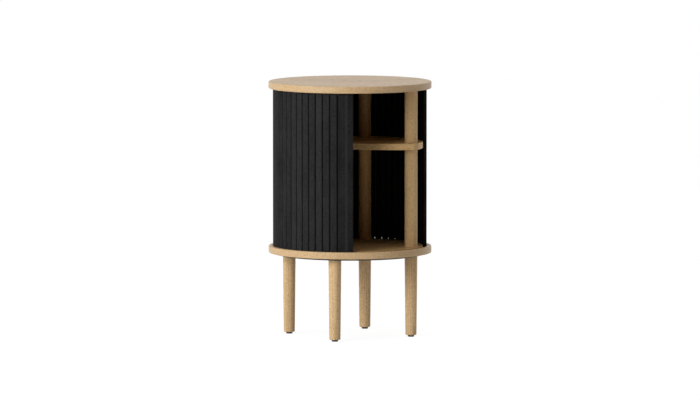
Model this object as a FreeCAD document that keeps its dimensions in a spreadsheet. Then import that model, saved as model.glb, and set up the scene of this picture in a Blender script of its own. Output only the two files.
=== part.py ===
import FreeCAD, Part
import math
import os
import Sketcher

# Round side table: oak boards, posts and legs, with a tambour door that turns about the middle.
# Millimetres, +Z up, origin on the floor at the middle. The front is towards -Y.

Vector = FreeCAD.Vector

# Driving sizes, one cell each
SIZES = {
    # round boards
    "board_diameter": 380,
    "board_thickness": 16,
    "board_edge_round": 2,
    # shelf: round at the back, with a gently bowed front edge that leaves the front left post free
    "shelf_thickness": 15,
    "shelf_edge_round": 1.5,
    "shelf_front_reach": 56,        # from the table's axis to the middle of the front edge
    "shelf_front_radius": 700,
    "shelf_corner_round": 28,
    # uprights, from the floor up
    "pad_height": 4,
    "leg_length": 186.5,
    "plate_thickness": 4.5,
    "lower_post_length": 228,
    "upper_post_length": 125,
    # posts and legs stand in a square, one at each corner
    "corner_count": 4,
    "corner_angle": 45,
    "post_diameter": 30,
    "post_inset": 8.6,              # wood of the shelf outside each post
    "leg_top_diameter": 30,
    "leg_foot_diameter": 26,
    "leg_foot_round": 2.5,
    # plate under the base board
    "plate_inset": 20,              # the plate's edge inside the board's edge
    "plate_edge_round": 0.8,
    # foot pads and their nails
    "pad_diameter": 15,
    "pad_edge_round": 0.8,
    "nail_diameter": 2,
    "nail_length": 14,
    "nail_bite": 2.5,               # length of the nail inside the pad
    # circular tracks in the two boards
    "rim_width": 9.7,               # wood outside the track
    "track_width": 10.3,
    "track_depth": 7,
    # tambour door
    "slat_count": 43,
    "slats_per_node": 2,
    "slat_width": 16.6,
    "slat_thickness": 5.5,
    "slat_edge_round": 2.5,
    "slat_gap": 0.93,               # between the backs of two slats
    "slat_side_gap": 0.5,           # from the slats' faces to the track's outer wall
    "slat_foot_gap": 0.3,
    "slat_head_gap": 0.7,
    "door_heading": 105.73,         # direction of the door's middle from +X at rest
    "canvas_thickness": 0.8,
    "canvas_end_gap": 5,            # canvas ends short of both boards
    # end pieces of the door: a face in line with the slats and a return that leans inwards
    "stile_face_width": 20.5,
    "stile_return_width": 15.5,
    "stile_return_angle": 12.7,
    "stile_thickness": 7,
    "stile_ridge_round": 3,
    "stile_end_round": 1,
    "rebate_gap": 0.4,              # beside the canvas in the stile's rebate
    # threaded rods and inserts
    "stud_diameter": 8,
    "insert_diameter": 12,
    "insert_length": 25,
    "insert_cover": 5,              # wood left above the inserts of the top board
    "end_gap": 1,                   # at the blind end of a hole
    "fit_gap": 0.05,                # radial, between a fastener and its hole
    # screws of the plate
    "screw_count": 8,
    "screw_inset": 50,              # the screws' circle inside the plate's edge
    "screw_angle": 22.5,
    "screw_diameter": 4,
    "screw_head_diameter": 8,
    "screw_head_height": 2.2,
    "screw_cover": 6,               # wood left above the screw's tip
    "screw_tip_length": 4,
    "socket_width": 3,
    "socket_depth": 1.4,
}

document = FreeCAD.newDocument("side_table")
sheet = document.addObject("Spreadsheet::Sheet", "size")
for row, (alias, number) in enumerate(SIZES.items(), start=1):
    sheet.set(f"A{row}", alias)
    sheet.set(f"B{row}", str(number))
    sheet.setAlias(f"B{row}", alias)
document.recompute()

# Heights, worked out from the floor up
plate_bottom = "(size.pad_height + size.leg_length)"
base_bottom = f"({plate_bottom} + size.plate_thickness)"
base_top = f"({base_bottom} + size.board_thickness)"
shelf_bottom = f"({base_top} + size.lower_post_length)"
shelf_top = f"({shelf_bottom} + size.shelf_thickness)"
top_bottom = f"({shelf_top} + size.upper_post_length)"

# Radii, worked out from the board's edge inwards
track_outer = "(size.board_diameter / 2 - size.rim_width)"
track_inner = f"({track_outer} - size.track_width)"
post_reach = f"({track_inner} - size.post_inset - size.post_diameter / 2)"
plate_radius = "(size.board_diameter / 2 - size.plate_inset)"
screw_reach = f"({plate_radius} - size.screw_inset)"
slat_face = f"({track_outer} - size.slat_side_gap)"
slat_back = f"({slat_face} - size.slat_thickness)"
canvas_back = f"({slat_back} - size.canvas_thickness)"
stile_back = f"({slat_face} - size.stile_thickness)"

# First corner of the square of posts
corner_x = f"({post_reach} * cos(size.corner_angle * 1 deg))"
corner_y = f"({post_reach} * sin(size.corner_angle * 1 deg))"

# Shelf: the front edge is an arc about a point far behind. It meets the round back at two corners,
# each at the same turn from the front's direction.
front_centre = "(size.shelf_front_radius - size.shelf_front_reach)"
front_x = f"({front_centre} * cos(size.corner_angle * 1 deg))"
front_y = f"({front_centre} * sin(size.corner_angle * 1 deg))"
shelf_corner_turn = (f"acos((size.shelf_front_radius ^ 2 - {track_inner} ^ 2 - {front_centre} ^ 2)"
                  f" / (2 * {front_centre} * {track_inner}))")
shelf_front_turn = f"asin({track_inner} * sin({shelf_corner_turn}) / size.shelf_front_radius)"

# First of the plate's screws on its circle
screw_turn = "(size.screw_angle * 1 deg)"
screw_x = f"({screw_reach} * cos({screw_turn}))"
screw_y = f"({screw_reach} * sin({screw_turn}))"

# Holes and rods
clear_stud = "(size.stud_diameter + 2 * size.fit_gap)"
insert_hole = "(size.insert_diameter + 2 * size.fit_gap)"
insert_hole_depth = "(size.insert_length + size.end_gap)"
stud_reach = "(size.insert_length - size.end_gap)"
top_hole_depth = "(size.board_thickness - size.insert_cover)"
top_insert_length = f"({top_hole_depth} - size.end_gap)"
nail_hole = "(size.nail_diameter + 2 * size.fit_gap)"
screw_bite = "(size.board_thickness - size.screw_cover)"
screw_length = f"({screw_bite} + size.plate_thickness)"

# Door: one slat takes one step of the circle
door_step = f"(2 * atan((size.slat_width + size.slat_gap) / 2 / {slat_back}))"
slat_bottom = f"({base_top} - size.track_depth + size.slat_foot_gap)"
slat_top = f"({top_bottom} + size.track_depth - size.slat_head_gap)"
slat_length = f"({slat_top} - {slat_bottom})"
canvas_bottom = f"({base_top} + size.canvas_end_gap)"
canvas_length = f"({top_bottom} - {base_top} - 2 * size.canvas_end_gap)"


def value(expression):
    result = sheet.evalExpression(expression)
    return float(getattr(result, "Value", result))


def origin_feature(body, role):
    return next(feature for feature in body.Origin.OriginFeatures if feature.Role == role)


def new_body(node):
    body = document.addObject("PartDesign::Body", node)
    body.Label = node
    return body


def place(body, x=None, y=None, z=None, turn=None):
    body.Placement = FreeCAD.Placement(Vector(), FreeCAD.Rotation(Vector(0, 0, 1), 1))
    for path, expression in (("Base.x", x), ("Base.y", y), ("Base.z", z)):
        if expression:
            body.setExpression(f"Placement.{path}", expression)
    body.setExpression("Placement.Rotation.Angle", turn or "0 deg")


def new_sketch(body, name, role="XY_Plane", level=None):
    sketch = body.newObject("Sketcher::SketchObject", name)
    sketch.AttachmentSupport = (origin_feature(body, role), [""])
    sketch.MapMode = "FlatFace"
    if level:
        sketch.setExpression("AttachmentOffset.Base.z", level)
    return sketch


# An upright sketch through the middle axis, turned about it
def new_upright_sketch(body, name, turn):
    sketch = new_sketch(body, name, "XZ_Plane")
    sketch.AttachmentOffset = FreeCAD.Placement(Vector(), FreeCAD.Rotation(Vector(0, 1, 0), 1))
    sketch.setExpression("AttachmentOffset.Rotation.Angle", turn)
    return sketch


def constrain(sketch, expression, kind, *targets):
    index = sketch.addConstraint(Sketcher.Constraint(kind, *targets, value(expression)))
    sketch.setExpression(f"Constraints[{index}]", expression)


# A point of a sketch, set from the sketch's own origin
def pin_point(sketch, geometry, point, x, y):
    for kind, axis, expression in (("DistanceX", -2, x), ("DistanceY", -1, y)):
        if expression is None:
            sketch.addConstraint(Sketcher.Constraint("PointOnObject", geometry, point, axis))
        else:
            constrain(sketch, expression, kind, -1, 1, geometry, point)


def add_circle(sketch, diameter, x=None, y=None):
    centre = Vector(value(x) if x else 0, value(y) if y else 0, 0)
    shape = Part.Circle(centre, Vector(0, 0, 1), value(diameter) / 2)
    circle = sketch.addGeometry(shape, False)
    pin_point(sketch, circle, 3, x, y)
    constrain(sketch, diameter, "Diameter", circle)


# An arc that runs counterclockwise from one turn to another, in degrees
def add_arc(sketch, radius, x, y, start, end):
    centre = Vector(value(x) if x else 0, value(y) if y else 0, 0)
    circle = Part.Circle(centre, Vector(0, 0, 1), value(radius))
    arc = sketch.addGeometry(Part.ArcOfCircle(circle, math.radians(start), math.radians(end)), False)
    pin_point(sketch, arc, 3, x, y)
    constrain(sketch, radius, "Radius", arc)
    return arc


# A closed outline of straight lines; None stands for a point on the axis
def add_outline(sketch, corners):
    points = [Vector(value(x) if x else 0, value(y) if y else 0, 0) for x, y in corners]
    lines = [
        sketch.addGeometry(Part.LineSegment(start, end), False)
        for start, end in zip(points, points[1:] + points[:1])
    ]
    for line, following in zip(lines, lines[1:] + lines[:1]):
        sketch.addConstraint(Sketcher.Constraint("Coincident", line, 2, following, 1))
    for line, (x, y) in zip(lines, corners):
        pin_point(sketch, line, 1, x, y)


def pad(body, name, sketch, length):
    feature = body.newObject("PartDesign::Pad", name)
    feature.Profile = sketch
    feature.setExpression("Length", length)
    document.recompute()
    return feature


# Cuts downwards from its sketch, or upwards when asked to
def pocket(body, name, sketch, depth, upwards=False):
    before = body.Shape.Volume
    feature = body.newObject("PartDesign::Pocket", name)
    feature.Profile = sketch
    feature.setExpression("Length", depth)
    feature.Reversed = upwards
    document.recompute()
    if body.Shape.Volume >= before:
        raise RuntimeError(f"{body.Label}: {name} cuts nothing")
    return feature


def turned(body, name, sketch):
    feature = body.newObject("PartDesign::Revolution", name)
    feature.Profile = sketch
    feature.ReferenceAxis = (sketch, ["V_Axis"])
    feature.Angle = 360
    document.recompute()
    return feature


def round_edges(body, name, radius, wanted):
    base = body.Tip
    names = [f"Edge{number}" for number, edge in enumerate(base.Shape.Edges, start=1) if wanted(edge)]
    feature = body.newObject("PartDesign::Fillet", name)
    feature.Base = (base, names)
    feature.setExpression("Radius", radius)
    document.recompute()
    return feature


def repeat(body, name, features, count, angle, whole=False):
    pattern = body.newObject("PartDesign::PolarPattern", name)
    if whole:
        pattern.TransformMode = "Whole shape"
    else:
        pattern.Originals = features
    pattern.Axis = (origin_feature(body, "Z_Axis"), [""])
    pattern.setExpression("Angle", angle)
    pattern.setExpression("Occurrences", count)
    body.Tip = pattern
    document.recompute()
    return pattern


FULL_TURN = "360 deg"
NEAR = 1e-4


# True for a circular edge of this radius, at this height if one is given
def is_ring(edge, radius, height=None):
    if not isinstance(edge.Curve, Part.Circle) or abs(edge.Curve.Radius - radius) > NEAR:
        return False
    return height is None or abs(edge.Curve.Center.z - height) < NEAR


# True for an upright edge that passes through this point of the plan
def is_upright(edge, x, y):
    ends = [vertex.Point for vertex in edge.Vertexes]
    return len(ends) == 2 and all(abs(end.x - x) < NEAR and abs(end.y - y) < NEAR for end in ends)


# Signs of x and y at each corner
CORNERS = {
    "back_right": ("", ""),
    "back_left": ("-", ""),
    "front_left": ("-", "-"),
    "front_right": ("", "-"),
}
FREE_CORNER = "front_left"
SHELF_CORNERS = [corner for corner in CORNERS if corner != FREE_CORNER]

# First corner, count and turn of a group: at every corner, under the shelf, or at the free corner
EVERY = ("back_right", "size.corner_count", FULL_TURN)
AT_SHELF = ("front_right", "(size.corner_count - 1)",
            f"({FULL_TURN} * (size.corner_count - 2) / size.corner_count)")
AT_FREE = (FREE_CORNER, None, None)


def add_corner_circle(sketch, diameter, group):
    sign_x, sign_y = CORNERS[group[0]]
    add_circle(sketch, diameter, f"{sign_x}{corner_x}", f"{sign_y}{corner_y}")


def repeat_corners(body, name, features, group):
    if group[1]:
        repeat(body, name, features, *group[1:])


def corner_holes(body, name, diameter, depth, level=None, upwards=False, group=EVERY):
    sketch = new_sketch(body, f"{name}_sketch", level=level)
    add_corner_circle(sketch, diameter, group)
    hole = pocket(body, name, sketch, depth, upwards)
    repeat_corners(body, f"{name}_pattern", [hole], group)


# Boards


def round_board(node, diameter, thickness, edge_round):
    body = new_body(node)
    sketch = new_sketch(body, f"{node}_outline")
    add_circle(sketch, diameter)
    pad(body, f"{node}_disc", sketch, thickness)
    radius = value(diameter) / 2
    round_edges(body, f"{node}_edge", edge_round, lambda edge: is_ring(edge, radius))
    return body


def mill_track(body, level=None, upwards=False):
    sketch = new_sketch(body, "track_outline", level=level)
    add_circle(sketch, f"(2 * {track_outer})")
    add_circle(sketch, f"(2 * {track_inner})")
    pocket(body, "track", sketch, "size.track_depth", upwards)


def make_top_board():
    body = round_board("top_board", "size.board_diameter", "size.board_thickness", "size.board_edge_round")
    mill_track(body, upwards=True)
    corner_holes(body, "insert_hole", insert_hole, top_hole_depth, upwards=True)
    place(body, z=top_bottom)


def make_base_board():
    body = round_board("base_board", "size.board_diameter", "size.board_thickness", "size.board_edge_round")
    mill_track(body, level="size.board_thickness")
    corner_holes(body, "stud_hole", clear_stud, "size.board_thickness", level="size.board_thickness")
    sketch = new_sketch(body, "screw_hole_outline")
    add_circle(sketch, "(size.screw_diameter + 2 * size.fit_gap)", screw_x, screw_y)
    hole = pocket(body, "screw_hole", sketch, f"({screw_bite} + size.end_gap)", upwards=True)
    repeat(body, "screw_holes", [hole], "size.screw_count", FULL_TURN)
    place(body, z=base_bottom)


def make_shelf():
    body = new_body("shelf")
    sketch = new_sketch(body, "shelf_outline")
    heading = value("size.corner_angle")
    back_turn, front_turn = 180 - value(shelf_corner_turn), value(shelf_front_turn)
    back = add_arc(sketch, track_inner, None, None, heading - back_turn, heading + back_turn)
    front = add_arc(sketch, "size.shelf_front_radius", front_x, front_y,
                    heading + 180 - front_turn, heading + 180 + front_turn)
    sketch.addConstraint(Sketcher.Constraint("Coincident", back, 2, front, 1))
    sketch.addConstraint(Sketcher.Constraint("Coincident", front, 2, back, 1))
    pad(body, "shelf_blank", sketch, "size.shelf_thickness")
    round_edges(body, "shelf_corners", "size.shelf_corner_round",
                lambda edge: edge.BoundBox.ZLength > NEAR)
    round_edges(body, "shelf_edge", "size.shelf_edge_round", lambda edge: edge.BoundBox.ZLength < NEAR)
    corner_holes(body, "stud_hole", clear_stud, "size.shelf_thickness", level="size.shelf_thickness",
                 group=AT_SHELF)
    place(body, z=shelf_bottom)


# Plate under the base board, with countersunk screws

# A body turned about its own middle, where the last side of the outline is the screw's axis
def turned_screw(body, kind, name, gap, top, shank_top):
    sketch = new_upright_sketch(body, f"{name}_outline", screw_turn)
    shank = f"({screw_reach} + size.screw_diameter / 2 + {gap})"
    add_outline(sketch, [
        (screw_reach, None),
        (f"({screw_reach} + size.screw_head_diameter / 2 + {gap})", None),
        (shank, "size.screw_head_height"),
        (shank, shank_top),
        (screw_reach, top),
    ])
    feature = body.newObject(kind, name)
    feature.Profile = sketch
    feature.ReferenceAxis = (sketch, ["Edge5"])
    feature.Angle = 360
    document.recompute()
    return feature


def make_under_plate():
    body = round_board("under_plate", f"(2 * {plate_radius})", "size.plate_thickness", "size.plate_edge_round")
    corner_holes(body, "stud_hole", clear_stud, "size.plate_thickness", level="size.plate_thickness")
    before = body.Shape.Volume
    hole = turned_screw(body, "PartDesign::Groove", "screw_hole", "size.fit_gap",
                        "size.plate_thickness", "size.plate_thickness")
    if body.Shape.Volume >= before:
        raise RuntimeError("under_plate: screw hole cuts nothing")
    repeat(body, "screw_holes", [hole], "size.screw_count", FULL_TURN)
    place(body, z=plate_bottom)


def make_plate_screws():
    body = new_body("plate_screws")
    screw = turned_screw(body, "PartDesign::Revolution", "screw", "0",
                         screw_length, f"({screw_length} - size.screw_tip_length)")
    sketch = new_sketch(body, "socket_outline")
    add_circle(sketch, "size.socket_width", screw_x, screw_y)
    socket = pocket(body, "socket", sketch, "size.socket_depth", upwards=True)
    repeat(body, "screws", [screw, socket], "size.screw_count", FULL_TURN)
    place(body, z=plate_bottom)


# Legs, posts and foot pads, one set at each corner


def at_corner(body, corner, level):
    sign_x, sign_y = CORNERS[corner]
    place(body, f"{sign_x}{corner_x}", f"{sign_y}{corner_y}", level)


def blind_hole(body, name, diameter, depth, level=None, upwards=False):
    sketch = new_sketch(body, f"{name}_sketch", level=level)
    add_circle(sketch, diameter)
    pocket(body, name, sketch, depth, upwards)


def make_leg(corner):
    body = new_body(f"leg_{corner}")
    sketch = new_sketch(body, "leg_outline", "XZ_Plane")
    add_outline(sketch, [
        (None, None),
        ("(size.leg_foot_diameter / 2)", None),
        ("(size.leg_top_diameter / 2)", "size.leg_length"),
        (None, "size.leg_length"),
    ])
    turned(body, "leg_turned", sketch)
    foot_radius = value("size.leg_foot_diameter") / 2
    round_edges(body, "leg_foot", "size.leg_foot_round", lambda edge: is_ring(edge, foot_radius, 0))
    blind_hole(body, "insert_hole", insert_hole, insert_hole_depth, level="size.leg_length")
    blind_hole(body, "nail_hole", nail_hole, "(size.nail_length + size.end_gap)", upwards=True)
    at_corner(body, corner, "size.pad_height")


def make_foot_pad(corner):
    body = new_body(f"foot_pad_{corner}")
    sketch = new_sketch(body, "pad_outline")
    add_circle(sketch, "size.pad_diameter")
    pad(body, "pad_disc", sketch, "size.pad_height")
    pad_radius = value("size.pad_diameter") / 2
    round_edges(body, "pad_edge", "size.pad_edge_round", lambda edge: is_ring(edge, pad_radius, 0))
    blind_hole(body, "nail_hole", nail_hole, "size.nail_bite", level="size.pad_height")
    at_corner(body, corner, None)


def make_post(name, corner, length, level):
    body = new_body(f"{name}_{corner}")
    sketch = new_sketch(body, "post_outline")
    add_circle(sketch, "size.post_diameter")
    pad(body, "post_rod", sketch, length)
    blind_hole(body, "lower_insert_hole", insert_hole, insert_hole_depth, upwards=True)
    blind_hole(body, "upper_insert_hole", insert_hole, insert_hole_depth, level=length)
    at_corner(body, corner, level)


# Rods and inserts: each group is one node with a solid at each of its corners


def corner_rods(node, diameter, level, length, group=EVERY):
    body = new_body(node)
    sketch = new_sketch(body, "rod_outline")
    add_corner_circle(sketch, diameter, group)
    rod = pad(body, "rod", sketch, length)
    repeat_corners(body, "rods", [rod], group)
    place(body, z=level)


def corner_inserts(node, length, levels, group=EVERY):
    body = new_body(node)
    sleeves = []
    for number, level in enumerate(levels, start=1):
        sketch = new_sketch(body, f"sleeve_outline_{number}", level=level)
        add_corner_circle(sketch, "size.insert_diameter", group)
        add_corner_circle(sketch, clear_stud, group)
        sleeves.append(pad(body, f"sleeve_{number}", sketch, length))
    repeat_corners(body, "sleeves", sleeves, group)
    place(body)


def make_fasteners():
    corner_inserts("leg_inserts", "size.insert_length", [f"({plate_bottom} - size.insert_length)"])
    corner_inserts("lower_post_inserts", "size.insert_length",
                   [base_top, f"({shelf_bottom} - size.insert_length)"], AT_SHELF)
    corner_inserts("upper_post_inserts", "size.insert_length",
                   [shelf_top, f"({top_bottom} - size.insert_length)"], AT_SHELF)
    corner_inserts("long_post_inserts", "size.insert_length",
                   [base_top, f"({top_bottom} - size.insert_length)"], AT_FREE)
    corner_inserts("top_board_inserts", top_insert_length, [top_bottom])
    corner_rods("leg_studs", "size.stud_diameter", f"({plate_bottom} - {stud_reach})",
                f"({base_top} - {plate_bottom} + 2 * {stud_reach})")
    corner_rods("shelf_studs", "size.stud_diameter", f"({shelf_bottom} - {stud_reach})",
                f"(size.shelf_thickness + 2 * {stud_reach})", AT_SHELF)
    corner_rods("top_studs", "size.stud_diameter", f"({top_bottom} - {stud_reach})",
                f"({stud_reach} + {top_insert_length})")
    corner_rods("pad_nails", "size.nail_diameter", "(size.pad_height - size.nail_bite)",
                "(size.nail_bite + size.nail_length)")


# Tambour door


# Slats first to last of one node, counted from the lead stile
def make_slats(first, last):
    node = f"slats_{first + 1:02d}_{last + 1:02d}" if last > first else f"slat_{first + 1:02d}"
    body = new_body(node)
    sketch = new_sketch(body, "slat_outline")
    half_width = "(size.slat_width / 2)"
    add_outline(sketch, [
        (slat_back, f"-{half_width}"),
        (slat_face, f"-{half_width}"),
        (slat_face, half_width),
        (slat_back, half_width),
    ])
    pad(body, "slat", sketch, slat_length)
    face, side = value(slat_face), value(half_width)
    round_edges(body, "slat_edges", "size.slat_edge_round",
                lambda edge: is_upright(edge, face, side) or is_upright(edge, face, -side))
    if last > first:
        repeat(body, "slats", None, str(last - first + 1), f"({last - first} * {door_step})", whole=True)
    steps = f"((size.slat_count - 1) / 2 - {last})"
    place(body, z=slat_bottom, turn=f"(size.door_heading * 1 deg + {steps} * {door_step})")


# side is "" for the lead stile and "-" for the tail stile, its mirror image
def make_stile(node, side):
    other = "-" if side == "" else ""
    body = new_body(node)
    sketch = new_sketch(body, "stile_outline")
    turn = "(size.stile_return_angle * 1 deg)"
    near_edge = "(size.slat_width / 2)"
    ridge = f"(size.stile_face_width - {near_edge})"
    end_x = f"({slat_face} - size.stile_return_width * sin({turn}))"
    end_y = f"({ridge} + size.stile_return_width * cos({turn}))"
    inner_x = f"({end_x} - size.stile_thickness * cos({turn}))"
    inner_y = f"({end_y} - size.stile_thickness * sin({turn}))"
    bend_y = f"({ridge} - size.stile_thickness * tan({turn} / 2))"
    rebate_end = "((size.slat_width + size.slat_gap) / 2 + size.rebate_gap)"
    add_outline(sketch, [
        (slat_face, f"{other}{near_edge}"),
        (slat_face, f"{side}{ridge}"),
        (end_x, f"{side}{end_y}"),
        (inner_x, f"{side}{inner_y}"),
        (stile_back, f"{side}{bend_y}"),
        (stile_back, f"{side}{rebate_end}"),
        (slat_back, f"{side}{rebate_end}"),
        (slat_back, f"{other}{near_edge}"),
    ])
    pad(body, "stile", sketch, slat_length)
    face = value(slat_face)
    round_edges(body, "near_edge", "size.slat_edge_round",
                lambda edge: is_upright(edge, face, value(f"{other}{near_edge}")))
    round_edges(body, "ridge", "size.stile_ridge_round",
                lambda edge: is_upright(edge, face, value(f"{side}{ridge}")))
    round_edges(body, "end_edges", "size.stile_end_round",
                lambda edge: is_upright(edge, value(end_x), value(f"{side}{end_y}"))
                or is_upright(edge, value(inner_x), value(f"{side}{inner_y}")))
    steps = f"{side}((size.slat_count + 1) / 2)"
    place(body, z=slat_bottom, turn=f"(size.door_heading * 1 deg + {steps} * {door_step})")


# One flat facet behind each slat and each stile, joined at the gaps
def make_canvas():
    body = new_body("canvas")
    sketch = new_sketch(body, "facet_outline")
    half_step = f"({door_step} / 2)"
    add_outline(sketch, [
        (canvas_back, f"-{canvas_back} * tan({half_step})"),
        (slat_back, f"-{slat_back} * tan({half_step})"),
        (slat_back, f"{slat_back} * tan({half_step})"),
        (canvas_back, f"{canvas_back} * tan({half_step})"),
    ])
    facet = pad(body, "facet", sketch, canvas_length)
    facets = "(size.slat_count + 2)"
    repeat(body, "facets", [facet], facets, f"(({facets} - 1) * {door_step})")
    place(body, z=canvas_bottom, turn=f"(size.door_heading * 1 deg - ({facets} - 1) / 2 * {door_step})")


def make_door():
    count = SIZES["slat_count"]
    group = SIZES["slats_per_node"]
    for first in range(0, count, group):
        make_slats(first, min(first + group, count) - 1)
    make_stile("lead_stile", "")
    make_stile("tail_stile", "-")
    make_canvas()


make_top_board()
make_base_board()
make_shelf()
make_under_plate()
make_plate_screws()
for corner_name in CORNERS:
    make_leg(corner_name)
    make_foot_pad(corner_name)
for corner_name in SHELF_CORNERS:
    make_post("lower_post", corner_name, "size.lower_post_length", base_top)
    make_post("upper_post", corner_name, "size.upper_post_length", shelf_top)
make_post("long_post", FREE_CORNER, f"({top_bottom} - {base_top})", base_top)
make_fasteners()
make_door()
document.recompute()

# Every object is checked before anything is written
for item in document.Objects:
    if {"Invalid", "Error"} & set(item.State):
        raise RuntimeError(f"{item.Label}: {item.State}")
bodies = [item for item in document.Objects if item.TypeId == "PartDesign::Body"]
for body in bodies:
    if body.Shape.isNull() or not body.Shape.isValid() or not body.Shape.Solids:
        raise RuntimeError(f"{body.Label}: bad shape")

os.makedirs("parts", exist_ok=True)
for body in bodies:
    body.Shape.exportStep(f"parts/{body.Label}.step")
    box = body.Shape.BoundBox
    print(f"{body.Label}: {len(body.Shape.Solids)} solids, z {box.ZMin:.2f} to {box.ZMax:.2f}")
print(len(bodies), "nodes")
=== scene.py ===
import math

import bmesh
import bpy
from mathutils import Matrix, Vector


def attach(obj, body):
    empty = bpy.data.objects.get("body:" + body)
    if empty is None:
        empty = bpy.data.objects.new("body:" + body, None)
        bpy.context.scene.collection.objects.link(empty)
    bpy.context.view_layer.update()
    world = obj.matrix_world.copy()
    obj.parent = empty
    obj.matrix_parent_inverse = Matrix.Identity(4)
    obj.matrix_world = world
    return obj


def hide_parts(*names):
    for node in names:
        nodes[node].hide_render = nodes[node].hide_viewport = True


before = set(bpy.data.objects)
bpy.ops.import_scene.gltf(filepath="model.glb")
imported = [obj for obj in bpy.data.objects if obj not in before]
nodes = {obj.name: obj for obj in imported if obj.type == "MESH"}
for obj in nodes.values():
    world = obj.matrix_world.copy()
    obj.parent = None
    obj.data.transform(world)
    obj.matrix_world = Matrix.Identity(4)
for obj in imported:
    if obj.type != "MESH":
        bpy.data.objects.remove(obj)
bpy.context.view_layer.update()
print("frame loaded:", len(nodes), "nodes")


# A socket of a node tree: an expression on it adds its own Math nodes
class Signal:
    def __init__(self, graph, socket):
        self.graph = graph
        self.socket = socket

    def combine(self, operation, *values):
        return self.graph.node("ShaderNodeMath", {"operation": operation}, values).out(0)

    def __add__(self, other):
        return self.combine("ADD", self, other)

    def __radd__(self, other):
        return self.combine("ADD", other, self)

    def __sub__(self, other):
        return self.combine("SUBTRACT", self, other)

    def __rsub__(self, other):
        return self.combine("SUBTRACT", other, self)

    def __mul__(self, other):
        return self.combine("MULTIPLY", self, other)

    def __rmul__(self, other):
        return self.combine("MULTIPLY", other, self)

    def __truediv__(self, other):
        return self.combine("DIVIDE", self, other)

    def __pow__(self, other):
        return self.combine("POWER", self, other)

    def most(self, other):
        return self.combine("MAXIMUM", self, other)

    def over(self, other):
        return self.combine("GREATER_THAN", self, other)

    def angleTo(self, other):
        return self.combine("ARCTAN2", self, other)

    def size(self):
        return self.combine("ABSOLUTE", self)

    def whole(self):
        return self.combine("FLOOR", self)

    def fraction(self):
        return self.combine("FRACT", self)

    def sine(self):
        return self.combine("SINE", self)

    def cosine(self):
        return self.combine("COSINE", self)

    # 0 below low, 1 above high, smooth between
    def ramp(self, low, high):
        settings = {"interpolation_type": "SMOOTHSTEP"}
        return self.graph.node("ShaderNodeMapRange", settings, [self, low, high, 0.0, 1.0]).out(0)


# A node that is in its tree, for the links from its outputs
class Placed:
    def __init__(self, graph, made):
        self.graph = graph
        self.made = made

    def out(self, name):
        return Signal(self.graph, self.made.outputs[name])


# A node tree, of a material, the world or a modifier
class Graph:
    def __init__(self, tree):
        self.tree = tree

    def node(self, kind, settings=None, values=()):
        made = self.tree.nodes.new(kind)
        for name, setting in (settings or {}).items():
            if name == "stops":
                self.setStops(made.color_ramp, setting)
            else:
                setattr(made, name, setting)
        pairs = values.items() if isinstance(values, dict) else enumerate(values)
        for key, value in pairs:
            self.feed(made.inputs[key], value)
        return Placed(self, made)

    def feed(self, socket, value):
        if isinstance(value, Signal):
            self.tree.links.new(value.socket, socket)
        elif socket.type == "RGBA" and len(value) == 3:
            socket.default_value = (*value, 1)
        else:
            socket.default_value = value

    def setStops(self, colorRamp, stops):
        while len(colorRamp.elements) < len(stops):
            colorRamp.elements.new(1)
        for element, (place, colour) in zip(colorRamp.elements, stops):
            element.position = place
            element.color = (*colour, 1)

    def split(self, vector):
        parts = self.node("ShaderNodeSeparateXYZ", None, [vector])
        return parts.out("X"), parts.out("Y"), parts.out("Z")

    def join(self, x, y, z):
        return self.node("ShaderNodeCombineXYZ", None, [x, y, z]).out("Vector")


# One material and the nodes in it
class Paint(Graph):
    def __init__(self, name):
        self.material = bpy.data.materials.new(name)
        self.material.use_nodes = True
        super().__init__(self.material.node_tree)
        self.tree.nodes.clear()

    def where(self):
        return self.node("ShaderNodeTexCoord").out("Object")

    def attribute(self, name):
        return self.node("ShaderNodeAttribute", {"attribute_name": name})

    # Object coordinates turned about Z, so that X runs along the grain of a board
    def alongGrain(self, turn):
        values = {"Vector": self.where(), "Rotation": (0, 0, turn)}
        mapping = self.node("ShaderNodeMapping", {"vector_type": "POINT"}, values)
        return self.split(mapping.out("Vector"))

    # Noise with so many cells to a metre along each part of a place
    def noise(self, place, cells, detail=3.0, roughness=0.55):
        vector = self.join(*[part * count for part, count in zip(place, cells)])
        values = {"Vector": vector, "Scale": 1.0, "Detail": detail, "Roughness": roughness}
        return self.node("ShaderNodeTexNoise", {"noise_dimensions": "3D"}, values).out(0)

    # One random number for each place
    def chance(self, x, y, z):
        values = {"Vector": self.join(x, y, z)}
        return self.node("ShaderNodeTexWhiteNoise", {"noise_dimensions": "3D"}, values).out("Value")

    def blend(self, factor, first, second, mode="MIX"):
        settings = {"data_type": "RGBA", "blend_type": mode, "clamp_factor": True}
        return self.node("ShaderNodeMix", settings, {0: factor, 6: first, 7: second}).out(2)

    def bump(self, height, distance, strength):
        values = {"Height": height, "Distance": distance, "Strength": strength}
        return self.node("ShaderNodeBump", None, values).out("Normal")

    def finish(self, **sockets):
        names = {"color": "Base Color", "roughness": "Roughness", "metallic": "Metallic",
                 "normal": "Normal", "specular": "Specular IOR Level"}
        values = {names[name]: value for name, value in sockets.items()}
        shader = self.node("ShaderNodeBsdfPrincipled", None, values)
        self.node("ShaderNodeOutputMaterial", None, {"Surface": shader.out("BSDF")})
        return self.material


# What an object's modifiers make of it, as a plain mesh
def asMesh(thing):
    graph = bpy.context.evaluated_depsgraph_get()
    made = thing.evaluated_get(graph)
    return bpy.data.meshes.new_from_object(made, preserve_all_data_layers=True, depsgraph=graph)


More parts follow.
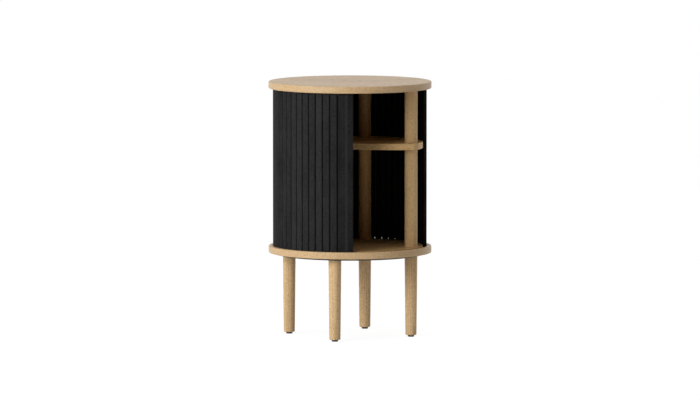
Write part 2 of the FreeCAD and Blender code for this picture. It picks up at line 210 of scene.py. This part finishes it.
# One Geometry Nodes tree with named inputs, grown into a plain mesh
class Growth(Graph):
    kinds = {int: "NodeSocketInt", float: "NodeSocketFloat",
             bpy.types.Material: "NodeSocketMaterial"}

    def __init__(self, name, given):
        super().__init__(bpy.data.node_groups.new(name, "GeometryNodeTree"))
        self.name = name
        self.given = given
        sockets = self.tree.interface
        for label, value in given.items():
            sockets.new_socket(label, in_out="INPUT", socket_type=self.kinds[type(value)])
        sockets.new_socket("Geometry", in_out="OUTPUT", socket_type="NodeSocketGeometry")
        self.start = self.node("NodeGroupInput")

    def value(self, label):
        return self.start.out(label)

    # One random number between two limits for each index
    def random(self, low, high, index, seed):
        values = {2: low, 3: high, 7: index, 8: seed}  # 2 and 3 are the limits of a float
        return self.node("FunctionNodeRandomValue", {"data_type": "FLOAT"}, values).out(1)

    def grow(self, geometry, sharpAbove):
        real = self.node("GeometryNodeRealizeInstances", None, [geometry])
        dressed = self.node("GeometryNodeSetMaterial", None,
                            {"Geometry": real.out(0), "Material": self.value("Material")})
        self.node("NodeGroupOutput", None, [dressed.out(0)])
        seed = bpy.data.objects.new(self.name + "Seed", bpy.data.meshes.new(self.name + "Seed"))
        bpy.context.scene.collection.objects.link(seed)
        growth = seed.modifiers.new("growth", "NODES")
        growth.node_group = self.tree
        for socket in self.tree.interface.items_tree:
            if socket.in_out == "INPUT":
                growth[socket.identifier] = self.given[socket.name]
        plain = asMesh(seed)
        bpy.data.objects.remove(seed)
        return addPiece(self.name, plain, sharpAbove)


# A mesh as a piece: smooth, with its sharp edges kept
def addPiece(name, mesh, sharpAbove):
    mesh.name = name
    piece = bpy.data.objects.new(name, mesh)
    bpy.context.scene.collection.objects.link(piece)
    mesh.shade_smooth()
    mesh.set_sharp_from_angle(angle=math.radians(sharpAbove))
    even = piece.modifiers.new("evenNormals", "WEIGHTED_NORMAL")
    even.keep_sharp = True
    even.weight = 100  # large faces count most
    settled = asMesh(piece)
    piece.modifiers.remove(even)
    piece.data = settled
    settled.name = name
    bpy.data.meshes.remove(mesh)
    return piece


# A material for CAD nodes, which keep their own meshes
def dress(material, *names):
    for name in names:
        for slot in nodes[name].material_slots:
            slot.link = "OBJECT"
            slot.material = material


# The CAD nodes whose names begin so
def nodesNamed(*starts):
    return sorted(name for name in nodes if name.startswith(starts))


# Light oak, oiled: veneered boards with a banded rim, solid turned posts and legs
oak = {
    "pale": (0.637, 0.448, 0.246),
    "middle": (0.552, 0.378, 0.199),
    "deep": (0.444, 0.290, 0.143),
    "pore": (0.267, 0.159, 0.074),
    "poreDepth": 0.5,
    "poreEdge": (0.60, 0.69),
    "earlyPores": 0.3,
    "slowCells": (1.6, 11, 11),
    "wobbleCells": (6, 70, 70),
    "fibreCells": (18, 900, 900),
    "poreCells": (75, 2100, 2100),
    "ringWidth": 0.0034,
    "slowSway": 0.014,
    "wobbleSway": 0.0011,
    "lateRise": (0.30, 0.92),
    "lateFall": (0.94, 1.0),
    "slowTone": 0.9,
    "meanLate": 0.3,
    "meanTone": 0.46,
    "fibreRelief": 0.4,
    "toneRelief": 0.2,
    "poreRelief": 0.8,
    "relief": 0.0001,
    "reliefStrength": 0.5,
    "roughness": 0.31,
    "fibreRoughness": 0.14,
    "poreRoughness": 0.1,
}

# How strongly each part of the figure shows on boards and on turned pieces, and where the pith lies
boardFigure = {"fleckCells": (105, 250, 250), "fleck": 2.3, "fibre": 0.7, "ring": 0.6,
               "streak": 0.9, "poreCluster": 1.3, "pith": (0.055, -0.21)}
turnedFigure = {"fleckCells": (310, 430, 430), "fleck": 2.9, "fibre": 0.4, "ring": 0.35,
                "streak": 0.2, "poreCluster": 0.5, "pith": (0.05, 0.21)}

# Edge band round a board, with noise cells along the rim and up it
rim = {
    "bandThickness": 0.0008,
    "slowCells": (14, 120, 1),
    "fibreCells": (60, 1500, 1),
    "dashCells": (170, 2300, 1),
    "dashEdge": (0.58, 0.68),
    "slow": 0.6,
    "fibre": 0.7,
    "meanTone": 0.5,
}

# Veneer leaves laid side by side on a board
leaves = {
    "turn": math.radians(31.17),
    "width": 0.092,
    "shift": 0.37,
    "slide": 3,
    "step": 0.05,
    "tone": 0.22,
    "seed": 5.0,
    "seamEdge": (0.4975, 0.4995),
    "seamDepth": 0.35,
}

# The base board's floor inside the door is darker and warmer than its rim, and the shelf is warmer:
# both are painted shade
boards = {
    "oakTop": {"node": "top_board", "radius": 0.190, "gloss": 0.27, "tint": (1.00, 1.00, 1.01),
               "fleckCells": (150, 420, 1), "fleck": 2.1},
    "oakBase": {"node": "base_board", "radius": 0.190, "gloss": 0.15, "tint": (1.06, 1.07, 1.09),
                "fleckCells": (150, 420, 1), "fleck": 2.1,
                "insideDoor": 0.1725, "innerShadeTint": (0.82, 0.74, 0.60)},
    "oakShelf": {"node": "shelf", "radius": 0.170, "gloss": 0.10, "tint": (1.08, 1.02, 0.86),
                 "fleckCells": (25, 420, 1), "fleck": 0.6},
}

turned = {
    "gloss": 0.10,
    "cutCells": (40, 40, 2.2),
    "cutSlide": 0.3,
}

# The right and back legs are paler as painted light; the lower back post is brighter and warmer as
# painted light; the upper back post and the long front post are darker and warmer as painted shade
turnedPieces = {
    "oakLegs": {"tint": (1.19, 1.20, 1.22), "nodes": ("leg_front_left", "leg_back_left")},
    "oakPaleLegs": {"tint": (1.33, 1.33, 1.35), "nodes": ("leg_front_right", "leg_back_right")},
    "oakPosts": {"tint": (1.06, 1.03, 0.96),
                 "nodes": ("lower_post_front_right", "upper_post_front_right")},
    "oakLowerPosts": {"tint": (1.28, 1.12, 0.85), "nodes": ("lower_post_back",)},
    "oakUpperPosts": {"tint": (1.02, 0.90, 0.70), "nodes": ("upper_post_back", "long_post_front")},
}


# Growth rings, fibres, flecks and pores round a pith that lies along x
def oakFigure(paint, x, y, z, figure):
    place = (x, y, z)
    slow = paint.noise(place, oak["slowCells"], detail=2.0)
    wobble = paint.noise(place, oak["wobbleCells"])
    fromPith = ((y - figure["pith"][0]) ** 2 + (z - figure["pith"][1]) ** 2) ** 0.5
    swayed = fromPith + slow * oak["slowSway"] + wobble * oak["wobbleSway"]
    ring = (swayed / oak["ringWidth"]).fraction()
    late = ring.ramp(*oak["lateRise"]) * (1 - ring.ramp(*oak["lateFall"]))
    fleck = paint.noise(place, figure["fleckCells"], detail=2.0, roughness=0.7)
    fibre = paint.noise(place, oak["fibreCells"], roughness=0.6)
    pore = paint.noise(place, oak["poreCells"], detail=2.0)
    pore = pore + (fleck - 0.5) * figure["poreCluster"]
    pore = pore.ramp(*oak["poreEdge"]) * (oak["earlyPores"] + (1 - oak["earlyPores"]) * late)
    tone = (slow - 0.5) * oak["slowTone"] + (fibre - 0.5) * figure["fibre"]
    tone = tone + (late - oak["meanLate"]) * figure["ring"]
    tone = tone + (fleck - 0.5) * figure["fleck"] + (wobble - 0.5) * figure["streak"]
    return tone + oak["meanTone"], fibre, pore


# Short dashes round the rim; the last part of each place only keeps the noises apart
def rimFigure(paint, x, y, z, board):
    along = y.angleTo(x) * board["radius"]
    slow = paint.noise((along, z, 0.0), rim["slowCells"], detail=2.0)
    fleck = paint.noise((along, z, 1.0), board["fleckCells"], detail=2.0, roughness=0.7)
    fibre = paint.noise((along, z, 3.0), rim["fibreCells"], roughness=0.6)
    dash = paint.noise((along, z, 7.0), rim["dashCells"], detail=2.0).ramp(*rim["dashEdge"])
    tone = (slow - 0.5) * rim["slow"] + (fibre - 0.5) * rim["fibre"]
    tone = tone + (fleck - 0.5) * board["fleck"]
    return tone + rim["meanTone"], fibre, dash


# Pale to deep by the tone, and the colour of a pore where it is dark
def oakColour(paint, tint, tone, dark):
    stops = [(place, [part * shade for part, shade in zip(oak[name], tint)])
             for place, name in ((0.0, "pale"), (0.5, "middle"), (1.0, "deep"))]
    colour = paint.node("ShaderNodeValToRGB", {"stops": stops}, [tone]).out("Color")
    return paint.blend(dark, colour, oak["pore"])


def oakFinish(paint, colour, gloss, tone, fibre, pore):
    roughness = oak["roughness"] + oak["fibreRoughness"] * fibre + oak["poreRoughness"] * pore
    height = fibre * oak["fibreRelief"] + tone * oak["toneRelief"] - pore * oak["poreRelief"]
    relief = paint.bump(height, oak["relief"], oak["reliefStrength"])
    return paint.finish(color=colour, roughness=roughness, specular=gloss, normal=relief)


def paintBoard(name, board):
    paint = Paint(name)
    x, y, z = paint.alongGrain(leaves["turn"])
    leafPlace = y / leaves["width"] + leaves["shift"]
    leaf = leafPlace.whole()
    luck = paint.chance(leaf, leaves["seed"], 0.0)
    veneer = oakFigure(paint, x + luck * leaves["slide"], y + leaf * leaves["step"], z, boardFigure)
    seam = (leafPlace.fraction() - 0.5).size().ramp(*leaves["seamEdge"]) * leaves["seamDepth"]
    fromAxis = (x ** 2 + y ** 2) ** 0.5
    band = fromAxis.over(board["radius"] - rim["bandThickness"])
    tone, fibre, pore = [flat + band * (curved - flat)
                         for flat, curved in zip(veneer, rimFigure(paint, x, y, z, board))]
    tone = tone + (luck - 0.5) * leaves["tone"] * (1 - band)
    dark = (pore * oak["poreDepth"]).most(seam * (1 - band))
    colour = oakColour(paint, board["tint"], tone, dark)
    # Painted shade: the floor inside the door is made darker and warmer
    if "innerShadeTint" in board:
        inside = 1 - fromAxis.over(board["insideDoor"])
        colour = paint.blend(inside, colour, board["innerShadeTint"], "MULTIPLY")
    return oakFinish(paint, colour, board["gloss"], tone, fibre, pore)


# Each turned piece takes its own stretch of the figure, by where it stands
def paintTurned(name, tint):
    paint = Paint(name)
    x, y, z = place = paint.split(paint.where())
    cut = paint.chance(*[(part * count).whole() for part, count in zip(place, turned["cutCells"])])
    tone, fibre, pore = oakFigure(paint, z + cut * turned["cutSlide"], x, y, turnedFigure)
    colour = oakColour(paint, tint, tone, pore * oak["poreDepth"])
    return oakFinish(paint, colour, turned["gloss"], tone, fibre, pore)


for name, board in boards.items():
    dress(paintBoard(name, board), board["node"])
for name, pieces in turnedPieces.items():
    dress(paintTurned(name, pieces["tint"]), *nodesNamed(*pieces["nodes"]))
print("oak done")


# Black stained wood of the door: cloudy, mottled, with fine upright grain
stain = {
    "slatShades": ((0.0145, 0.0145, 0.0145), (0.0305, 0.0305, 0.0305)),
    # The stiles' darker shades are partly painted shade; the ridge colour is a painted highlight
    "stileShades": ((0.0108, 0.0108, 0.0108), (0.0232, 0.0232, 0.0232)),
    "ridgeHighlight": (0.0274, 0.0270, 0.0263),
    "cloudCells": (34, 34, 16),
    "mottleCells": (260, 260, 210),
    "grainCells": (1100, 1100, 16),
    "poreCells": (1900, 1900, 60),
    "poreEdge": (0.60, 0.70),
    "cloudTone": 0.7,
    "grainTone": 0.5,
    "toneDrop": 0.1,
    "mottle": 0.85,
    "slatTone": 0.22,
    "toneEdge": (0.15, 0.85),
    "ridgeArc": 0.4097,
    "ridgeHighlightEdge": (0.0004, 0.0045),
    "shadeEdge": (0.012, 0.021),
    "shade": 0.5,
    "roughness": 0.44,
    "cloudRoughness": 0.14,
    "grainRoughness": 0.08,
    "specular": 0.003,
    "grainRelief": 0.6,
    "relief": 0.00008,
    "reliefStrength": 0.45,
}


def stainFigure(paint, place):
    cloud = paint.noise(place, stain["cloudCells"], detail=4.0, roughness=0.6)
    mottle = paint.noise(place, stain["mottleCells"], detail=2.0, roughness=0.6)
    grain = paint.noise(place, stain["grainCells"], roughness=0.6)
    pore = paint.noise(place, stain["poreCells"], detail=2.0).ramp(*stain["poreEdge"])
    tone = cloud * stain["cloudTone"] + grain * stain["grainTone"] - stain["toneDrop"]
    return tone + (mottle - 0.5) * stain["mottle"], cloud, grain, pore


def stainFinish(paint, colour, cloud, grain, pore):
    roughness = stain["roughness"] + stain["cloudRoughness"] * cloud
    roughness = roughness + stain["grainRoughness"] * grain
    height = grain * stain["grainRelief"] - pore
    relief = paint.bump(height, stain["relief"], stain["reliefStrength"])
    return paint.finish(color=colour, roughness=roughness, specular=stain["specular"],
                        normal=relief)


# Each slat has a tone of its own
def paintSlats():
    paint = Paint("blackSlats")
    tone, cloud, grain, pore = stainFigure(paint, paint.split(paint.where()))
    own = paint.attribute("slatTone").out("Fac")
    tone = tone + (own - 0.5) * stain["slatTone"]
    colour = paint.blend(tone.ramp(*stain["toneEdge"]), *stain["slatShades"])
    return stainFinish(paint, colour, cloud, grain, pore)


# Metres along the door from the ridge of either stile, positive towards its free end
def ridgeDistance(x, y):
    heading = math.radians(slats["middleAngle"])
    along = x * math.cos(heading) + y * math.sin(heading)
    across = y * math.cos(heading) - x * math.sin(heading)
    return across.angleTo(along).size() * slats["face"] - stain["ridgeArc"]


# The stiles are stained darker than the slats, as painted shade, with a painted highlight along the
# ridge and painted shade beside the slats
def paintStiles():
    paint = Paint("blackStile")
    x, y, z = place = paint.split(paint.where())
    tone, cloud, grain, pore = stainFigure(paint, place)
    dark, light = stain["stileShades"]
    colour = paint.blend(tone.ramp(*stain["toneEdge"]), dark, light)
    fromRidge = ridgeDistance(x, y)
    # Painted highlight along the ridge, then painted shade on the face beside the slats
    ridgeHighlight = 1 - fromRidge.size().ramp(*stain["ridgeHighlightEdge"])
    colour = paint.blend(ridgeHighlight, colour, stain["ridgeHighlight"])
    shaded = (0.0 - fromRidge).ramp(*stain["shadeEdge"]) * stain["shade"]
    colour = paint.blend(shaded, colour, dark)
    return stainFinish(paint, colour, cloud, grain, pore)


# Slats in metres and degrees, as they stand round the upright middle axis
slats = {
    "count": 43,
    "middleAngle": 105.73,
    "step": 5.7576,
    "back": 0.1743,
    "face": 0.1798,
    "width": 0.0166,
    "edgeRound": 0.0031,
    "edgeSteps": 5,
    "low": 0.2043,
    "high": 0.5853,
    "tongue": 0.0095,
    "tongueBack": 0.1766,
    "shoulder": 0.0002,
    "turnAbout": 0.5,
    "seed": 7,
    "weld": 0.00001,
    "sharpAbove": 40,
}


# A slat seen from above: square at the back, both front edges rounded
def slatOutline(growth):
    value = growth.value
    back, face, half = value("Back Radius"), value("Face Radius"), value("Slat Width") * 0.5
    corners = growth.node("GeometryNodeCurvePrimitiveQuadrilateral", {"mode": "POINTS"}, {
        "Point 1": growth.join(back, half * -1.0, 0.0),
        "Point 2": growth.join(face, half * -1.0, 0.0),
        "Point 3": growth.join(face, half, 0.0),
        "Point 4": growth.join(back, half, 0.0)})
    x = growth.split(growth.node("GeometryNodeInputPosition").out(0))[0]
    inFront = x.over((back + face) * 0.5)
    return growth.node("GeometryNodeFilletCurve", {"mode": "POLY"}, {
        "Curve": corners.out(0), "Count": value("Edge Steps"), "Limit Radius": True,
        "Radius": inFront * value("Edge Round")})


# The outline drawn up in five lengths. The backs of the end lengths are moved forward,
# which leaves a thin tongue at the foot and head, and light comes through beside it
def slatBody(growth):
    value = growth.value
    back, tongue, shoulder = value("Back Radius"), value("Tongue"), value("Shoulder")
    height = value("High") - value("Low")
    end = growth.node("GeometryNodeFillCurve", {"mode": "NGONS"},
                      {"Curve": slatOutline(growth).out(0)})
    body, chosen = end, {}
    for rise in (tongue, shoulder, height - (tongue + shoulder) * 2.0, shoulder, tongue):
        body = growth.node("GeometryNodeExtrudeMesh", {"mode": "FACES"}, {
            "Mesh": body.out(0), "Offset": growth.join(0.0, 0.0, rise), "Individual": False,
            **chosen})
        chosen = {"Selection": body.out("Top")}
    under = growth.node("GeometryNodeFlipFaces", None, [end.out(0)])
    both = growth.node("GeometryNodeJoinGeometry")
    for part in (body, under):
        growth.feed(both.made.inputs[0], part.out(0))
    whole = growth.node("GeometryNodeMergeByDistance", None,
                        {"Geometry": both.out(0), "Distance": slats["weld"]})
    x, y, z = growth.split(growth.node("GeometryNodeInputPosition").out(0))
    atEnds = (z - height * 0.5).size().over(height * 0.5 - tongue - shoulder * 0.5)
    atBack = (back + shoulder).over(x)
    return growth.node("GeometryNodeSetPosition", None, {
        "Geometry": whole.out(0), "Selection": atEnds * atBack,
        "Offset": growth.join(value("Tongue Back") - back, 0.0, 0.0)})


# One slat for each place round the door, turned a little about its own middle
def growSlats():
    firstAngle = slats["middleAngle"] + slats["step"] * (slats["count"] - 1) / 2
    growth = Growth("tambourSlats", {
        "Slat Count": slats["count"],
        "First Angle": math.radians(firstAngle),
        "Angle Step": math.radians(slats["step"]),
        "Back Radius": slats["back"],
        "Face Radius": slats["face"],
        "Slat Width": slats["width"],
        "Edge Round": slats["edgeRound"],
        "Edge Steps": slats["edgeSteps"],
        "Low": slats["low"],
        "High": slats["high"],
        "Tongue": slats["tongue"],
        "Tongue Back": slats["tongueBack"],
        "Shoulder": slats["shoulder"],
        "Turn About": math.radians(slats["turnAbout"]),
        "Seed": slats["seed"],
        "Material": paintSlats()})
    value = growth.value
    slat = slatBody(growth)
    index = growth.node("GeometryNodeInputIndex").out(0)
    turn = growth.random(value("Turn About") * -1.0, value("Turn About"), index, value("Seed"))
    tone = growth.random(0.0, 1.0, index, value("Seed") + 1)
    angle = value("First Angle") - index * value("Angle Step")
    middle = (value("Back Radius") + value("Face Radius")) * 0.5
    place = growth.join(middle * (angle.cosine() - (angle + turn).cosine()),
                        middle * (angle.sine() - (angle + turn).sine()), value("Low"))
    points = growth.node("GeometryNodePoints", None,
                         {"Count": value("Slat Count"), "Position": place})
    placed = growth.node("GeometryNodeInstanceOnPoints", None, {
        "Points": points.out(0), "Instance": slat.out(0),
        "Rotation": growth.join(0.0, 0.0, angle + turn)})
    toned = growth.node("GeometryNodeStoreNamedAttribute",
                        {"data_type": "FLOAT", "domain": "INSTANCE"},
                        {"Geometry": placed.out(0), "Name": "slatTone", "Value": tone})
    return growth.grow(toned.out(0), slats["sharpAbove"])


slatPiece = growSlats()
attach(slatPiece, "tambour_door")
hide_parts(*nodesNamed("slats_", "slat_"))
dress(paintStiles(), "lead_stile", "tail_stile")
print("slats done")


# Black canvas glued to the backs of the slats: flat on each slat, with a soft crease at each gap
canvas = {
    "outer": 0.1743,
    "thickness": 0.0008,
    "low": 0.216,
    "high": 0.574,
    "facets": 45,
    "rows": 24,
    "flatPart": 0.33,
    "creaseDepth": 0.00025,
    "creaseHalf": 0.0011,
    "creaseRun": 2.2,
    "creaseReach": 1.6,
    "sharpAbove": 50,
    "flat": (0.787, 0.358),
    "thread": 0.00062,
    "slubCells": (900, 90, 1),
    "fuzzCells": (4200, 4200, 1),
    "dark": (0.0016, 0.0016, 0.0016),
    "light": (0.0041, 0.0040, 0.0039),
    "toneEdge": (0.2, 0.9),
    # The paler colour at each crease is a painted highlight
    "creaseHighlight": (0.024, 0.024, 0.0235),
    "creaseHighlightEdge": (0.0003, 0.0018),
    "roughness": 0.86,
    "fuzzRoughness": 0.1,
    "specular": 0.08,
    "weaveRelief": 0.7,
    "slubRelief": 0.4,
    "fuzzRelief": 0.2,
    "relief": 0.00012,
    "reliefStrength": 0.8,
}


# A weave of two threads over two, read from the cloth's own UV map in metres
def paintCanvas():
    paint = Paint("blackCanvas")
    u, v = paint.split(paint.node("ShaderNodeUVMap", {"uv_map": "cloth"}).out("UV"))[:2]
    across, up = u / canvas["thread"], v / canvas["thread"]
    square = ((across * 0.5).whole() + (up * 0.5).whole()) * 0.5
    warp = (across * math.pi).sine().size()
    weft = (up * math.pi).sine().size()
    weave = square.fraction().over(0.25) * (warp - weft) + weft  # the warp on every second square
    slub = paint.noise((u, v, 0.0), canvas["slubCells"])
    fuzz = paint.noise((u, v, 0.0), canvas["fuzzCells"], detail=2.0)
    tone = (weave * 0.5 + slub * 0.5).ramp(*canvas["toneEdge"])
    colour = paint.blend(tone, canvas["dark"], canvas["light"])
    gap = 2 * canvas["outer"] * math.tan(math.radians(slats["step"] / 2))
    fromCrease = ((u / gap + 0.5).fraction() - 0.5).size() * gap
    # Painted highlight along each crease
    colour = paint.blend(1 - fromCrease.ramp(*canvas["creaseHighlightEdge"]), colour, canvas["creaseHighlight"])
    height = weave * canvas["weaveRelief"] + slub * canvas["slubRelief"]
    height = height + fuzz * canvas["fuzzRelief"]
    return paint.finish(color=colour, specular=canvas["specular"],
                        roughness=canvas["roughness"] + canvas["fuzzRoughness"] * fuzz,
                        normal=paint.bump(height, canvas["relief"], canvas["reliefStrength"]))


# The columns of the cloth: facet angle, metres across the facet, depth of the crease there
def canvasColumns():
    step = math.radians(slats["step"])
    firstAngle = math.radians(slats["middleAngle"]) + step * (canvas["facets"] - 1) / 2
    half = canvas["outer"] * math.tan(step / 2)
    near, far = canvas["creaseHalf"], canvas["creaseHalf"] * canvas["creaseRun"]
    flat = half * canvas["flatPart"]
    columns = []
    for facet in range(canvas["facets"]):
        angle = firstAngle - facet * step
        first, last = facet == 0, facet == canvas["facets"] - 1
        for across in (half, half - near, half - far, flat,
                       -flat, -half + far, -half + near, -half):
            if across == -half and not last:  # the next facet begins there
                continue
            fromGap = abs(abs(across) - half) / canvas["creaseHalf"] / canvas["creaseReach"]
            free = (first and across > 0) or (last and across < 0)
            crease = 0 if free else canvas["creaseDepth"] * max(0, 1 - fromGap) ** 2
            columns.append((angle, across, crease))
    return columns


# The cloth's own mesh: an inner and an outer side, closed round all four edges
def makeCanvas():
    inner = canvas["outer"] - canvas["thickness"]
    mesh = bmesh.new()
    cloth = mesh.loops.layers.uv.new("cloth")
    rows = canvas["rows"]
    grid = []
    along = 0.0
    previous = None
    for angle, across, crease in canvasColumns():
        point = Vector((math.cos(angle) * inner - math.sin(angle) * across,
                        math.sin(angle) * inner + math.cos(angle) * across))
        if previous is not None:
            along += (point - previous).length
        previous = point
        column = []
        for row in range(rows + 1):
            z = canvas["low"] + (canvas["high"] - canvas["low"]) * row / rows
            pair = []
            for radius in (inner - crease, canvas["outer"]):
                x = math.cos(angle) * radius - math.sin(angle) * across * radius / inner
                y = math.sin(angle) * radius + math.cos(angle) * across * radius / inner
                pair.append(mesh.verts.new((x, y, z)))
            column.append((pair, (along, z)))
        grid.append(column)

    def addFace(corners):
        face = mesh.faces.new([corner[0] for corner in corners])
        for loop, corner in zip(face.loops, corners):
            loop[cloth].uv = corner[1]

    def corner(place, row, side):
        pair, uv = grid[place][row]
        return pair[side], uv

    for place in range(len(grid) - 1):
        for row in range(rows):
            addFace([corner(place, row, 0), corner(place + 1, row, 0),
                     corner(place + 1, row + 1, 0), corner(place, row + 1, 0)])
            addFace([corner(place, row, 1), corner(place, row + 1, 1),
                     corner(place + 1, row + 1, 1), corner(place + 1, row, 1)])
        for row in (0, rows):
            addFace([corner(place, row, 0), corner(place, row, 1),
                     corner(place + 1, row, 1), corner(place + 1, row, 0)])
    for place in (0, len(grid) - 1):
        for row in range(rows):
            addFace([corner(place, row, 0), corner(place, row + 1, 0),
                     corner(place, row + 1, 1), corner(place, row, 1)])
    bmesh.ops.recalc_face_normals(mesh, faces=mesh.faces)
    plain = bpy.data.meshes.new("canvasBand")
    mesh.to_mesh(plain)
    mesh.free()
    plain.materials.append(paintCanvas())
    return addPiece("canvasBand", plain, canvas["sharpAbove"])


canvasPiece = makeCanvas()
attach(canvasPiece, "tambour_door")
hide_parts("canvas")
print("canvas done")


# Coat, plastic and metals of the fittings, each with a fine speckle and broad clouds
speckled = {
    "cloudCells": 45,
    "speckleTone": 0.6,
    "cloudTone": 0.4,
    "speckleRoughness": 0.1,
    "cloudRoughness": 0.08,
    "relief": 0.00004,
    "reliefStrength": 0.5,
}

fittings = {
    "plateCoat": {"dark": (0.012, 0.012, 0.012), "light": (0.022, 0.022, 0.0215),
                  "roughness": 0.5, "metallic": 0.0, "cells": 1500,
                  "nodes": ("under_plate",)},
    "glidePlastic": {"dark": (0.0104, 0.0104, 0.0104), "light": (0.0193, 0.0193, 0.0193),
                     "roughness": 0.48, "metallic": 0.0, "cells": 2500,
                     "nodes": ("foot_pad",)},
    "brassTurned": {"dark": (0.60, 0.42, 0.18), "light": (0.72, 0.53, 0.26),
                    "roughness": 0.26, "metallic": 1.0, "cells": 1200,
                    "nodes": ("leg_inserts", "lower_post_inserts", "upper_post_inserts",
                              "top_board_inserts", "long_post_inserts")},
    "zincSteel": {"dark": (0.50, 0.50, 0.52), "light": (0.62, 0.62, 0.63),
                  "roughness": 0.30, "metallic": 1.0, "cells": 1200,
                  "nodes": ("leg_studs", "shelf_studs", "top_studs", "pad_nails",
                            "plate_screws")},
}


def paintSpeckled(name, fitting):
    paint = Paint(name)
    place = paint.split(paint.where())
    speckle = paint.noise(place, [fitting["cells"]] * 3, detail=4.0, roughness=0.6)
    cloud = paint.noise(place, [speckled["cloudCells"]] * 3)
    tone = speckle * speckled["speckleTone"] + cloud * speckled["cloudTone"]
    roughness = fitting["roughness"] + speckled["speckleRoughness"] * speckle
    roughness = roughness + speckled["cloudRoughness"] * cloud
    relief = paint.bump(speckle, speckled["relief"], speckled["reliefStrength"])
    return paint.finish(color=paint.blend(tone, fitting["dark"], fitting["light"]),
                        roughness=roughness, metallic=fitting["metallic"], normal=relief)


for name, fitting in fittings.items():
    dress(paintSpeckled(name, fitting), *nodesNamed(*fitting["nodes"]))
print("materials done")


# Studio: one broad key lamp at the left, a pale band low down behind the right side and light
# from overhead. The camera and the gloss see a white floor and background instead
studio = {
    "floorSize": 14.0,
    "floorColour": (0.72, 0.72, 0.72),
    "shadowColour": (0.15, 0.15, 0.15),
    "floorLift": 0.93,
    "keyAzimuth": -79.2,
    "keyElevation": 18.0,
    "keyDistance": 4.2,
    "keyAim": (0, 0, 0.3),
    "keyWidth": 3.2,
    "keyHeight": 2.1,
    "keyPower": 166.0,
    "bandAzimuth": 98.8,
    "bandStrength": 2.1,
    "bandSpread": 0.12,
    "bandTop": (0.17, 0.31),
    "overhead": 1.1,
    "overheadRange": (0.65, 0.95),
}


# Azimuth in degrees from the front, positive towards +X
def direction(azimuth, elevation):
    a, e = math.radians(azimuth), math.radians(elevation)
    return Vector((math.sin(a) * math.cos(e), -math.cos(a) * math.cos(e), math.sin(e)))


def aim(thing, target):
    thing.rotation_euler = (Vector(target) - thing.location).to_track_quat("-Z", "Y").to_euler()


# 1 for the rays that see the background: the camera's, and those in gloss and glass
def seenRays(graph):
    rays = graph.node("ShaderNodeLightPath")
    inGloss, inGlass = rays.out("Is Glossy Ray"), rays.out("Is Transmission Ray")
    return rays.out("Is Camera Ray").most(inGloss).most(inGlass)


# As it is seen, the floor is lifted to white and keeps a faint shadow. From below it is clear
def paintFloor():
    paint = Paint("studioFloor")
    lighting = paint.node("ShaderNodeBsdfDiffuse", None, {"Color": studio["floorColour"]})
    shaded = paint.node("ShaderNodeBsdfDiffuse", None, {"Color": studio["shadowColour"]})
    glow = paint.node("ShaderNodeEmission", None,
                      {"Color": (1, 1, 1), "Strength": studio["floorLift"]})
    white = paint.node("ShaderNodeAddShader", None, [shaded.out(0), glow.out(0)])
    both = paint.node("ShaderNodeMixShader", None,
                      [seenRays(paint), lighting.out(0), white.out(0)])
    fromBelow = paint.node("ShaderNodeNewGeometry").out("Backfacing")
    clear = paint.node("ShaderNodeBsdfTransparent")
    oneSided = paint.node("ShaderNodeMixShader", None, [fromBelow, both.out(0), clear.out(0)])
    paint.node("ShaderNodeOutputMaterial", None, {"Surface": oneSided.out(0)})
    return paint.material


def addFloor():
    half = studio["floorSize"] / 2
    corners = [(-half, -half, 0), (half, -half, 0), (half, half, 0), (-half, half, 0)]
    mesh = bpy.data.meshes.new("studioFloor")
    mesh.from_pydata(corners, [], [(0, 1, 2, 3)])
    mesh.materials.append(paintFloor())
    floor = bpy.data.objects.new("studioFloor", mesh)
    bpy.context.scene.collection.objects.link(floor)


def addKey():
    light = bpy.data.lights.new("keyLight", "AREA")
    light.shape = "RECTANGLE"
    light.size = studio["keyWidth"]
    light.size_y = studio["keyHeight"]
    light.energy = studio["keyPower"]
    key = bpy.data.objects.new("keyLight", light)
    bpy.context.scene.collection.objects.link(key)
    away = direction(studio["keyAzimuth"], studio["keyElevation"]) * studio["keyDistance"]
    key.location = Vector(studio["keyAim"]) + away
    aim(key, studio["keyAim"])


def addWorld():
    world = bpy.data.worlds.new("studioWorld")
    bpy.context.scene.world = world
    world.use_nodes = True
    world.node_tree.nodes.clear()
    graph = Graph(world.node_tree)
    x, y, z = graph.split(graph.node("ShaderNodeTexCoord").out("Generated"))
    towards = direction(studio["bandAzimuth"], 0)
    spread = studio["bandSpread"]
    facing = (x * towards.x + y * towards.y + spread) / (1 + spread)
    band = facing.most(0.0) * (1 - z.ramp(*studio["bandTop"])) * studio["bandStrength"]
    ambient = band + z.ramp(*studio["overheadRange"]) * studio["overhead"]
    strength = ambient + seenRays(graph) * (1 - ambient)
    background = graph.node("ShaderNodeBackground", None,
                            {"Color": (1, 1, 1), "Strength": strength})
    graph.node("ShaderNodeOutputWorld", None, {"Surface": background.out(0)})


# Camera where the photograph was taken from
view = {
    "azimuth": -31.17,
    "elevation": 5.04,
    "distance": 16.585,
    "target": (0, 0, 0.3166),
    "focalPixels": 7106,
    "widthPixels": 700,
    "sensor": 36.0,
    "clipEnd": 100,
}


def addCamera():
    lens = bpy.data.cameras.new("photoCamera")
    lens.sensor_width = view["sensor"]
    lens.lens = view["focalPixels"] / view["widthPixels"] * view["sensor"]
    lens.clip_end = view["clipEnd"]
    camera = bpy.data.objects.new("photoCamera", lens)
    bpy.context.scene.collection.objects.link(camera)
    away = direction(view["azimuth"], view["elevation"]) * view["distance"]
    camera.location = Vector(view["target"]) + away
    aim(camera, view["target"])
    bpy.context.scene.camera = camera


addFloor()
addKey()
addWorld()
addCamera()
bpy.context.scene.view_settings.view_transform = "Standard"
print("studio done")
